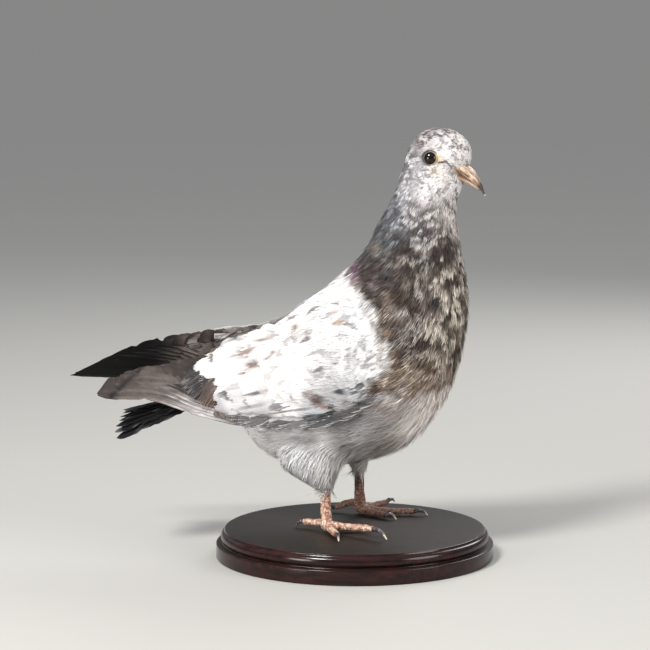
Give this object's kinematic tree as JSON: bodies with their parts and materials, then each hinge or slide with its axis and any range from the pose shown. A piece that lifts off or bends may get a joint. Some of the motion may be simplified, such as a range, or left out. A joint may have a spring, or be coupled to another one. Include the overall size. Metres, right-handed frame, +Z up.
{
  "type": "mounted pigeon",
  "caption": "Life-size mounted pigeon, pied white, grey and brown, standing on a round dark turned-wood base.",
  "frame": {"origin": "centre of the base's underside", "axes": "+X the way the bird faces, +Y its left side, +Z up"},
  "size_m": [0.3165, 0.2, 0.3083],
  "materials": {
    "wood": "dark mahogany stain under a gloss varnish",
    "plumage": "matt feathers, white mottled with grey and brown",
    "dark_feathers": "dark flight and tail feathers with a slight sheen",
    "leg_skin": "dried scaly skin, pinkish cream with red-brown blotches",
    "claw": "horn, dark with a pale tip",
    "bill": "horn, tan with a dark streak",
    "eye": "polished glass eye, nearly black"
  },
  "bodies": {
    "root": {"base": "wood", "trunk": "plumage", "neck": "plumage", "head": "plumage", "tail": "dark_feathers", "bill_upper": "bill", "bill_lower": "bill", "wing_right": "plumage", "wing_left": "plumage", "primaries_right": "dark_feathers", "primaries_left": "dark_feathers", "eye_right": "eye", "eye_left": "eye", "thigh_right": "plumage", "thigh_left": "plumage", "foot_right": "leg_skin", "foot_left": "leg_skin", "claw_right_middle": "claw", "claw_right_outer": "claw", "claw_right_inner": "claw", "claw_right_hind": "claw", "claw_left_middle": "claw", "claw_left_outer": "claw", "claw_left_inner": "claw", "claw_left_hind": "claw"}
  },
  "joints": []
}
